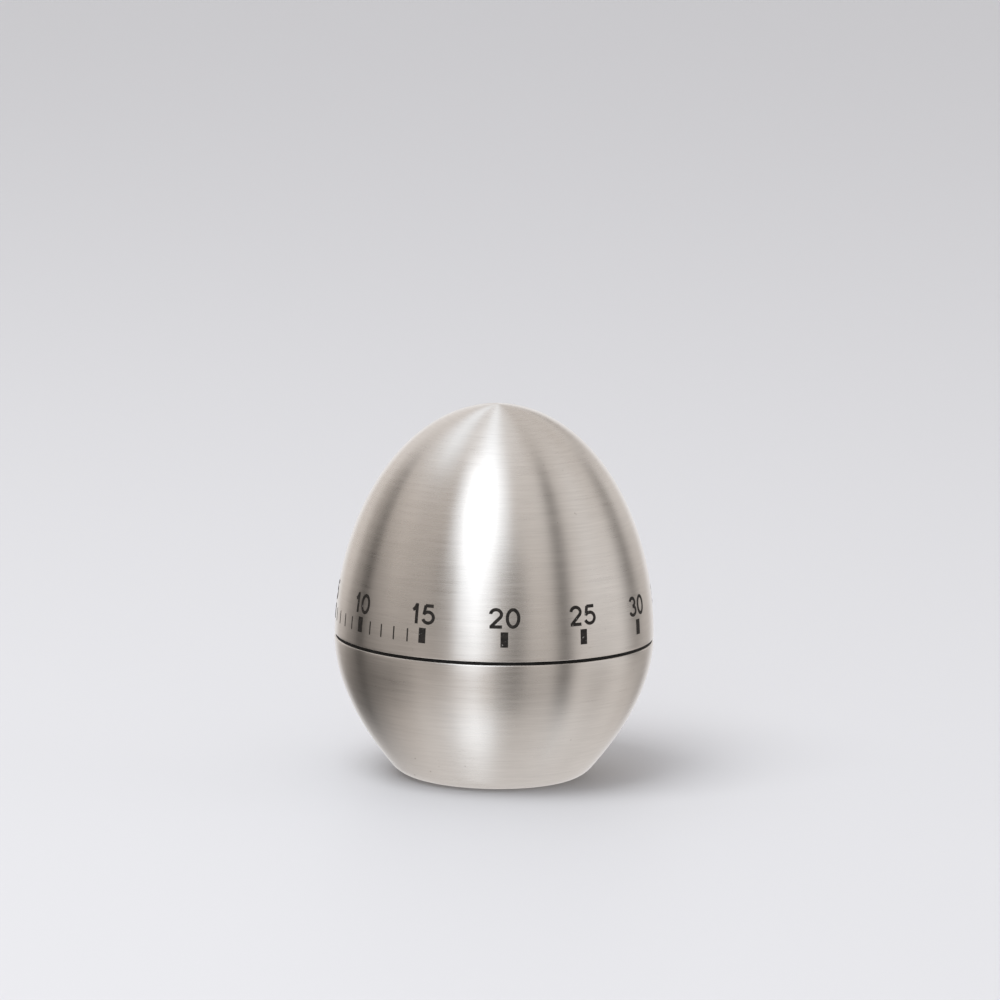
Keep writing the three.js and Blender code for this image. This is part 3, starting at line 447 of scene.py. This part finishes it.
# The heel is a circle that meets both the side, at its lean, and the table.
depth = (WIDEST - HEEL_HEIGHT) / WIDEST
lean = math.atan((RADIUS - HEEL_RADIUS) * CUP_POWER / WIDEST * depth ** (CUP_POWER - 1))
heel = HEEL_HEIGHT / (1 - math.sin(lean))
heel_centre = (cup(HEEL_HEIGHT) - heel * math.cos(lean), heel)
outer = np.vstack([side, bend(heel_centre, heel, -math.degrees(lean), -90, 22)[1:],
                   [[LIP_RADIUS + SHEET / 2, 0]]])
inner = inward(outer[::-1], SHEET)
inner[:, 1] = np.maximum(inner[:, 1], SHEET)
inner[0] = (LIP_RADIUS + SHEET / 2, SHEET)
foot = bend((LIP_RADIUS + SHEET / 2, SHEET / 2), SHEET / 2, 270, 90, 9)[1:-1]
rim = bend((outer[0] + inner[-1]) / 2, SHEET / 2, 180, 0, 13)[1:-1]
lower_shell = turned("lower_shell_steel", np.vstack([outer, foot, inner, rim])[::-1])
lower_shell.data.materials.append(brushed_shell("brushed_cup", 0.8, 0.9))
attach(lower_shell, "base")
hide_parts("lower_shell")

# ---- Seam ring ---------------------------------------------------------------------------
# A thin ring of black nylon between the shells. It keeps the two steel edges from rubbing when the
# dial turns, and shows as the dark line round the timer: its colour is darker than the nylon's own
# black, as painted shade for the shadowed gap between the shells.
RING_INNER, RING_BODY, RING_OUTER = 28.4 * MM, 31 * MM, 31.75 * MM
RING_LOW, RING_LIP, RING_TOP = 26.9 * MM, 28 * MM, 28.42 * MM
CORNER = 0.08 * MM
# The ring's colour is darker than black nylon: painted shade for the shadowed gap between the
# shells.
RING_BLACK_AND_GAP_SHADE = (0.006, 0.0055, 0.005)
SPARK_DEPTH = 0.02 * MM


def rounded(corners, radius, count=4):
    """A closed profile with each corner cut back to a short round one."""
    corners = np.asarray(corners, float)
    before = np.roll(corners, 1, axis=0) - corners
    after = np.roll(corners, -1, axis=0) - corners
    before /= np.linalg.norm(before, axis=1)[:, None]
    after /= np.linalg.norm(after, axis=1)[:, None]
    share = np.linspace(0, 1, count)[None, :, None]
    start = (corners + radius * before)[:, None]
    end = (corners + radius * after)[:, None]
    middle = corners[:, None]
    # A quadratic curve from one side of the corner to the other.
    line = (1 - share) ** 2 * start + 2 * share * (1 - share) * middle + share ** 2 * end
    return line.reshape(-1, 2)


def moulded(name, colour, rough, grain=9000.0, shine=0.5):
    """Moulded plastic: satin, with fine spark texture and dust in patches."""
    made, tree, shader = finish(name)
    spot = node(tree, "ShaderNodeTexCoord").outputs["Object"]
    fine = noise(tree, spot, grain, 2.0)
    dusty = span(tree, noise(tree, spot, 160.0, 4.0, 0.6), 0.45, 0.8, 0.0, 0.35)
    pale = tuple(min(1, c * 1.5 + 0.03) for c in colour)
    tree.links.new(tone(tree, dusty, colour, pale), shader.inputs["Base Color"])
    uneven = span(tree, fine, 0.3, 0.7, rough - 0.06, rough + 0.08)
    tree.links.new(uneven, shader.inputs["Roughness"])
    shader.inputs["Specular IOR Level"].default_value = shine
    raised = node(tree, "ShaderNodeBump", {"Strength": 0.35, "Distance": SPARK_DEPTH,
                                           "Height": fine})
    tree.links.new(raised.outputs[0], shader.inputs["Normal"])
    return made


section = [(RING_INNER, RING_LOW), (RING_BODY, RING_LOW), (RING_BODY, RING_LIP),
           (RING_OUTER, RING_LIP), (RING_OUTER, RING_TOP), (RING_INNER, RING_TOP)]
seam_ring = turned("seam_ring_nylon", rounded(section, CORNER))
# The ring's colour carries painted shade for the shadowed gap between the shells.
seam_ring.data.materials.append(moulded("black_nylon_and_gap_shade", RING_BLACK_AND_GAP_SHADE, 0.6, shine=0.2))
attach(seam_ring, "base")
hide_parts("seam_ring")

# ---- Dial print --------------------------------------------------------------------------
# Black screen print on the dome, one ink film thick: a bar and a number every five minutes, and
# fine ticks for the minutes up to fifteen. Zero faces the index when the timer has run down.
INK_RAISED = 0.025 * MM
INK_DEPTH = 0.05 * MM
BAR_WIDTH, BAR_LOW, BAR_HIGH = 1.5 * MM, 31.5 * MM, 34.5 * MM
TICK_WIDTH, TICK_HIGH = 0.3 * MM, 34.1 * MM
DIGIT_LOW, DIGIT_HEIGHT = 35.2 * MM, 4.0 * MM
DIGIT_WIDTH, DIGIT_GAP, STROKE = 2.9 * MM, 0.42 * MM, 0.65 * MM
ONE_WIDTH = 0.5  # of the other digits' width
AFTER_ONE = 0.40 * MM  # the extra space that follows a narrow 1
MINUTE, LAST_TICK = math.radians(6), 14
INK_DARK, INK_PALE = (0.008, 0.007, 0.006), (0.026, 0.022, 0.019)
INK_ROUGHNESS, INK_SHINE = (0.5, 0.68), 0.28


def arc(x, y, rx, ry, start, end, count=18):
    """Points round an ellipse, the angles in degrees."""
    angle = np.radians(np.linspace(start, end, count))
    return np.column_stack([x + rx * np.cos(angle), y + ry * np.sin(angle)])


def straight(*points):
    """Points every few hundredths along straight lines."""
    points = np.asarray(points, float)
    parts = [np.linspace(a, b, 12, endpoint=False) for a, b in zip(points[:-1], points[1:])]
    return np.vstack([*parts, points[-1:]])


# Each digit's centre line in a box 1 wide and 1 high, as one or more strokes.
STROKES = {
    "0": [arc(0.5, 0.5, 0.5, 0.5, 90, 450, 48)],
    "1": [straight((-0.10, 0.70), (0.30, 0.76), (0.70, 0.90), (0.90, 1.02)),
          straight((1.0, 1.09), (1.0, -0.09))],
    "2": [np.vstack([arc(0.49, 0.72, 0.47, 0.28, 175, -35, 24),
                     straight((0.84, 0.54), (0.03, 0.0))[2:-1]]),
          straight((-0.07, 0.0), (1.02, 0.0))],
    "3": [arc(0.48, 0.76, 0.42, 0.24, 165, -90, 22),
          arc(0.48, 0.26, 0.50, 0.26, 90, -165, 24)],
    "4": [straight((0.78, -0.07), (0.78, 1.03)), straight((0.76, 0.98), (-0.02, 0.28)),
          straight((-0.08, 0.25), (1.08, 0.25))],
    "5": [straight((0.93, 1.0), (0.17, 1.0)), straight((0.19, 1.02), (0.06, 0.47)),
          arc(0.47, 0.32, 0.51, 0.32, 148, -160, 28)],
}


def ribbon(line, width):
    """A flat stroke of even width: the line moved half a width to each side, across its run."""
    run = np.gradient(line, axis=0)
    run /= np.linalg.norm(run, axis=1)[:, None]
    across = np.column_stack([-run[:, 1], run[:, 0]]) * width / 2
    return np.stack([line - across, line, line + across], 1)


def on_dome(grids, name, surface):
    """Ink on a turned surface: (sideways, height) becomes the point at azimuth sideways / radius.

    Each grid is wrapped on twice, once a little proud and once just below the steel, and the
    two skins are joined round their edges into one closed film.
    """
    points, faces = [], []
    for centre, grid in grids:
        rows, columns, _ = grid.shape
        radius = surface(grid[..., 1])
        azimuth = centre + grid[..., 0] / radius
        skins = []
        for lift in (INK_RAISED - INK_DEPTH, INK_RAISED):
            x, y = (radius + lift) * np.sin(azimuth), -(radius + lift) * np.cos(azimuth)
            skins.append(np.stack([x, y, grid[..., 1]], -1).reshape(-1, 3))
        first, skin_size = sum(map(len, points)), rows * columns
        points.append(np.concatenate(skins))
        index = np.arange(skin_size).reshape(rows, columns) + first
        a, b, c, d = index[:-1, :-1], index[:-1, 1:], index[1:, 1:], index[1:, :-1]
        outwards = np.stack([a, b, c, d], -1).reshape(-1, 4) + skin_size
        inwards = np.stack([a, d, c, b], -1).reshape(-1, 4)
        edge = np.concatenate([index[0, :-1], index[:-1, -1], index[-1, :0:-1], index[:0:-1, 0]])
        beside = np.roll(edge, -1)
        walls = np.stack([edge, beside, beside + skin_size, edge + skin_size], -1)
        # The grid runs sideways then up, or up then sideways, and the second way is turned round.
        spread = np.cross(grid[-1, 0] - grid[0, 0], grid[0, -1] - grid[0, 0])
        for part in (outwards, inwards, walls):
            faces += (part if spread <= 0 else part[:, ::-1]).tolist()
    mesh = bpy.data.meshes.new(name)
    mesh.from_pydata(np.vstack(points).tolist(), [], faces)
    mesh.validate()
    made = bpy.data.objects.new(name, mesh)
    bpy.context.collection.objects.link(made)
    return made


def block(width, low, high):
    """A plain rectangle as a grid, centred sideways."""
    x, z = np.meshgrid(np.linspace(-width / 2, width / 2, 7), np.linspace(low, high, 5))
    return np.stack([x, z], -1)


def number(text):
    """The strokes of a number, side by side, centred, in metres."""
    widths = [DIGIT_WIDTH * (ONE_WIDTH if c == "1" else 1) for c in text]
    after = AFTER_ONE * text.startswith("1")
    left = -(sum(widths) + DIGIT_GAP * (len(text) - 1) + after) / 2
    grids = []
    for c, width in zip(text, widths):
        inside = width - STROKE
        for line in STROKES[c]:
            x = left + STROKE / 2 + line[:, 0] * inside
            z = DIGIT_LOW + STROKE / 2 + line[:, 1] * (DIGIT_HEIGHT - STROKE)
            grids.append(ribbon(np.column_stack([x, z]), STROKE))
        left += width + DIGIT_GAP + after * (c == "1")
    return grids


ink, tree, shader = finish("black_ink")
spot = node(tree, "ShaderNodeTexCoord").outputs["Object"]
thinned = span(tree, noise(tree, spot, 1400.0, 3.0), 0.35, 0.75)
chipped = maths(tree, "MULTIPLY", span(tree, noise(tree, spot, 2600.0, 2.0), 0.68, 0.73),
                span(tree, noise(tree, spot, 160.0, 1.0), 0.53, 0.66))
film = tone(tree, thinned, INK_DARK, INK_PALE)
tree.links.new(tone(tree, chipped, film, STEEL), shader.inputs["Base Color"])
tree.links.new(chipped, shader.inputs["Metallic"])
tree.links.new(span(tree, noise(tree, spot, 5000.0, 2.0), 0.3, 0.7, *INK_ROUGHNESS),
               shader.inputs["Roughness"])
shader.inputs["Specular IOR Level"].default_value = INK_SHINE

numbers, marks = [], []
for minute in range(60):
    turn = MINUTE * minute
    if minute % 5 == 0:
        marks.append((turn, block(BAR_WIDTH, BAR_LOW, BAR_HIGH)))
        numbers += [(turn, grid) for grid in number(str(minute))]
    elif minute <= LAST_TICK:
        marks.append((turn, block(TICK_WIDTH, BAR_LOW, TICK_HIGH)))
for name, grids in (("dial_numbers", numbers), ("dial_marks", marks)):
    print_piece = on_dome(grids, name, dome)
    print_piece.data.materials.append(ink)
    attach(print_piece, "dial")

# ---- Index mark --------------------------------------------------------------------------
# One printed pointer on the lower shell, just under the seam on the reading side, where the
# minutes left are read. It is the only mark on the base.
POINTER_TOP, POINTER_FOOT = 26.9 * MM, 23.9 * MM
POINTER_WIDTH, POINTER_TAPER = 2.6 * MM, 0.94

rise, sideways = np.meshgrid(np.linspace(0, 1, 9), np.linspace(-0.5, 0.5, 7), indexing="ij")
pointer = np.stack([sideways * POINTER_WIDTH * (1 - POINTER_TAPER * rise),
                    POINTER_FOOT + (POINTER_TOP - POINTER_FOOT) * rise], -1)
index_mark = on_dome([(0, pointer)], "index_mark", cup)
index_mark.data.materials.append(ink)
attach(index_mark, "base")

# ---- Base cover --------------------------------------------------------------------------
# A moulded black disc that closes the foot. Eight slots let the bell sound, a shallow groove
# runs round them, and three countersunk holes take the screws into the housing.
COVER_RADIUS, COVER_LOW, COVER_HIGH, COVER_EDGE = 14.5 * MM, 0.5 * MM, 2.0 * MM, 0.15 * MM
SLOTS, SLOT_IN, SLOT_OUT, SLOT_WIDTH = 8, 5.0 * MM, 8.6 * MM, 1.8 * MM
GROOVE_IN, GROOVE_OUT, GROOVE_DEPTH, FLANK = 10.9 * MM, 11.5 * MM, 0.25 * MM, 0.1 * MM
GATE_RADIUS, GATE_DEPTH = 1.1 * MM, 0.15 * MM
SCREW_RING, SCREW_ANGLES = 12.0 * MM, (30, 150, 270)
SCREW_SHANK, SCREW_HEAD, SCREW_SINK = 1.0 * MM, 2.0 * MM, 1.4 * MM
SHANK_GAP, HEAD_GAP = 0.1 * MM, 0.2 * MM


def upright(name, outline, low, high):
    """An outline carried straight up: the same ring of points at two heights, capped."""
    outline = np.asarray(outline, float)
    count = len(outline)
    ring = np.arange(count)
    beside = (ring + 1) % count
    points = np.vstack([np.column_stack([outline, np.full(count, z)]) for z in (low, high)])
    walls = np.column_stack([ring, beside, beside + count, ring + count]).tolist()
    mesh = bpy.data.meshes.new(name)
    mesh.from_pydata(points.tolist(), [], [*walls, ring[::-1].tolist(), (ring + count).tolist()])
    made = bpy.data.objects.new(name, mesh)
    bpy.context.collection.objects.link(made)
    return made


def carve(piece, cutters, softened=0.1 * MM):
    """Cuts solids out of a piece, then rounds the sharp edges by a bevel, and keeps the result."""
    for cutter in cutters:
        cutting = piece.modifiers.new("cut", "BOOLEAN")
        cutting.object = cutter
        cutting.solver = "EXACT"
    rounding = piece.modifiers.new("round", "BEVEL")
    rounding.width = softened
    rounding.segments = 2
    rounding.limit_method = "ANGLE"
    rounding.angle_limit = math.radians(50)
    bpy.context.view_layer.update()
    seen = piece.evaluated_get(bpy.context.evaluated_depsgraph_get())
    whole = bpy.data.meshes.new_from_object(seen)
    piece.modifiers.clear()
    piece.data = whole
    whole.polygons.foreach_set("use_smooth", np.ones(len(whole.polygons), bool))
    whole.set_sharp_from_angle(angle=math.radians(35))
    for cutter in cutters:
        bpy.data.objects.remove(cutter)


def round_ended(near, far, width, angle):
    """A slot's outline: half circles at two distances from the centre, joined, at an angle."""
    outline = np.vstack([bend((far, 0), width / 2, -90, 90, 11),
                         bend((near, 0), width / 2, 90, 270, 11)])
    c, s = math.cos(angle), math.sin(angle)
    return outline @ np.array([[c, s], [-s, c]])


def circle(centre, radius, count):
    """A round hole's outline, with no point twice."""
    return bend(centre, radius, 0, 360 - 360 / count, count)


screw_places = [(SCREW_RING * math.cos(math.radians(a)), SCREW_RING * math.sin(math.radians(a)))
                for a in SCREW_ANGLES]
groove_top, gate_top = COVER_LOW + GROOVE_DEPTH, COVER_LOW + GATE_DEPTH
disc = [(0, gate_top), (GATE_RADIUS - FLANK, gate_top), (GATE_RADIUS, COVER_LOW),
        (GROOVE_IN, COVER_LOW), (GROOVE_IN + FLANK, groove_top), (GROOVE_OUT - FLANK, groove_top),
        (GROOVE_OUT, COVER_LOW), (COVER_RADIUS - COVER_EDGE, COVER_LOW),
        (COVER_RADIUS, COVER_LOW + COVER_EDGE), (COVER_RADIUS, COVER_HIGH), (0, COVER_HIGH)]
cover = turned("base_cover_moulded", disc, 128)
slots = [round_ended(SLOT_IN, SLOT_OUT, SLOT_WIDTH, 2 * math.pi * (i + 0.5) / SLOTS)
         for i in range(SLOTS)]
cutters = [upright("slot", slot, 0, COVER_HIGH + MM) for slot in slots]
cutters += [upright("sink", circle(at, SCREW_HEAD + HEAD_GAP, 48), -MM, SCREW_SINK)
            for at in screw_places]
cutters += [upright("hole", circle(at, SCREW_SHANK + SHANK_GAP, 24), 0, COVER_HIGH + MM)
            for at in screw_places]
carve(cover, cutters)
cover.data.materials.append(moulded("black_cover", (0.030, 0.030, 0.031), 0.55, 5200.0))
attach(cover, "base")
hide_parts("base_cover")

# ---- Cover screws ------------------------------------------------------------------------
# Three turned steel screws with low domed heads and a cross slot, screwed up into the housing.
SCREW_HEAD_LOW, SCREW_HEAD_HIGH, SCREW_TIP = 0.55 * MM, 1.3 * MM, 4.0 * MM
SCREW_CROWN, SCREW_POINT = 0.35 * MM, 0.3 * MM
CROSS_LENGTH, CROSS_WIDTH, CROSS_DEPTH = 2.4 * MM, 0.5 * MM, 0.45 * MM
GRAIN_DEPTH, GRAIN_ROUGHNESS, SMEARED = 0.02 * MM, 0.07, 0.08


def metal(name, colour, stain, rough, stretch, polish=0.0):
    """Bare metal: grain stretched along some axes, a stain in patches, and uneven gloss."""
    made, tree, shader = finish(name)
    spot = node(tree, "ShaderNodeTexCoord").outputs["Object"]
    along_grain = node(tree, "ShaderNodeMapping", {"Vector": spot, "Scale": stretch}).outputs[0]
    grain = noise(tree, along_grain, 1.0, 3.0, 0.6)
    patch = span(tree, noise(tree, spot, 220.0, 4.0, 0.62), 0.42, 0.72)
    worn = place(tree, wear, {"Pits": 0.7})
    base = tone(tree, maths(tree, "MULTIPLY", patch, 0.55), colour, stain)
    dark = tuple(c * 0.35 for c in stain)
    tree.links.new(tone(tree, worn["Pits"], base, dark), shader.inputs["Base Color"])
    shader.inputs["Metallic"].default_value = 1.0
    uneven = span(tree, grain, 0.3, 0.7, rough - GRAIN_ROUGHNESS, rough + GRAIN_ROUGHNESS)
    smeared = maths(tree, "MULTIPLY", worn["Smears"], SMEARED - polish)
    tree.links.new(maths(tree, "ADD", uneven, smeared), shader.inputs["Roughness"])
    raised = node(tree, "ShaderNodeBump", {"Strength": 0.35, "Distance": GRAIN_DEPTH,
                                           "Height": grain})
    tree.links.new(raised.outputs[0], shader.inputs["Normal"])
    return made


turned_steel = metal("turned_steel", (0.60, 0.60, 0.60), (0.46, 0.44, 0.42), 0.24,
                     (300, 300, 14000))
t = np.linspace(0, np.pi / 2, 14)
crown = np.column_stack([SCREW_HEAD * np.sin(t), SCREW_HEAD_LOW + SCREW_CROWN * (1 - np.cos(t))])
shank = [(SCREW_HEAD, SCREW_HEAD_HIGH), (SCREW_SHANK, SCREW_HEAD_HIGH),
         (SCREW_SHANK, SCREW_TIP - SCREW_POINT), (SCREW_SHANK - SCREW_POINT, SCREW_TIP),
         (0, SCREW_TIP)]
square = np.array([[-1, -1], [1, -1], [1, 1], [-1, 1]]) / 2
for i, at in enumerate(screw_places, 1):
    cover_screw = turned(f"cover_screw_{i}_turned", np.vstack([crown, shank]), 48, at)
    cross = [upright("cross", square * size + at, 0, SCREW_HEAD_LOW + CROSS_DEPTH)
             for size in ((CROSS_LENGTH, CROSS_WIDTH), (CROSS_WIDTH, CROSS_LENGTH))]
    carve(cover_screw, cross, 0.05 * MM)
    cover_screw.data.materials.append(turned_steel)
    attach(cover_screw, "base")
    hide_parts(f"cover_screw_{i}")

# ---- Bell --------------------------------------------------------------------------------
# A bright plated steel gong, pressed like a shallow bowl and hung mouth down behind the slots.
# Its lip is rolled, and one screw through its crown holds it to the post.
BELL_RADIUS, BELL_WALL, BELL_LIP, BELL_CROWN = 16 * MM, 0.8 * MM, 4.6 * MM, 12.2 * MM
BELL_HOLE = 1.8 * MM


def bowl(radius, low, high, count=40):
    """Half an ellipse from the mouth to the hole: (radius cos t, low + rise sin t)."""
    t = np.linspace(0, math.acos(BELL_HOLE / radius), count)
    return np.column_stack([radius * np.cos(t), low + (high - low) * np.sin(t)])


brim = BELL_LIP + BELL_WALL / 2
outside = bowl(BELL_RADIUS, brim, BELL_CROWN)
inside = bowl(BELL_RADIUS - BELL_WALL, brim, BELL_CROWN - BELL_WALL)[::-1]
mouth = bend((BELL_RADIUS - BELL_WALL / 2, brim), BELL_WALL / 2, 180, 360, 11)[1:-1]
bell = turned("bell_plated", np.vstack([inside, mouth, outside]), 128)
bell.data.materials.append(metal("bell_chrome", (0.78, 0.78, 0.79), (0.62, 0.60, 0.58), 0.12,
                                 (200, 200, 7000), 0.05))
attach(bell, "base")
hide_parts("bell")

# ---- Movement, housing and liner ---------------------------------------------------------
# The rest is as machined: rolled brass wheels, plated plates, blued springs, turned arbors, and
# the two mouldings that carry them. Each takes the finish of its own material slot.
finishes = {
    "brass": metal("rolled_brass", (0.80, 0.60, 0.27), (0.52, 0.34, 0.14), 0.27, (500, 9000, 9000)),
    "plate_steel": metal("zinc_plate", (0.62, 0.61, 0.58), (0.47, 0.47, 0.46), 0.34,
                         (8000, 500, 8000)),
    "spring_steel": metal("blued_spring", (0.26, 0.29, 0.38), (0.40, 0.31, 0.24), 0.26,
                          (600, 600, 12000)),
    "turned_steel": turned_steel,
    "housing_grey": moulded("grey_housing", (0.25, 0.25, 0.26), 0.55, 4200.0),
    "liner_black": moulded("black_liner", (0.050, 0.050, 0.055), 0.5, 4200.0),
}
for part in frame["record"]["subparts"]:
    if part["material_slot"] in finishes:
        shown = frame["nodes"][part["node"]]
        for slot in shown.material_slots:
            slot.material = finishes[part["material_slot"]]
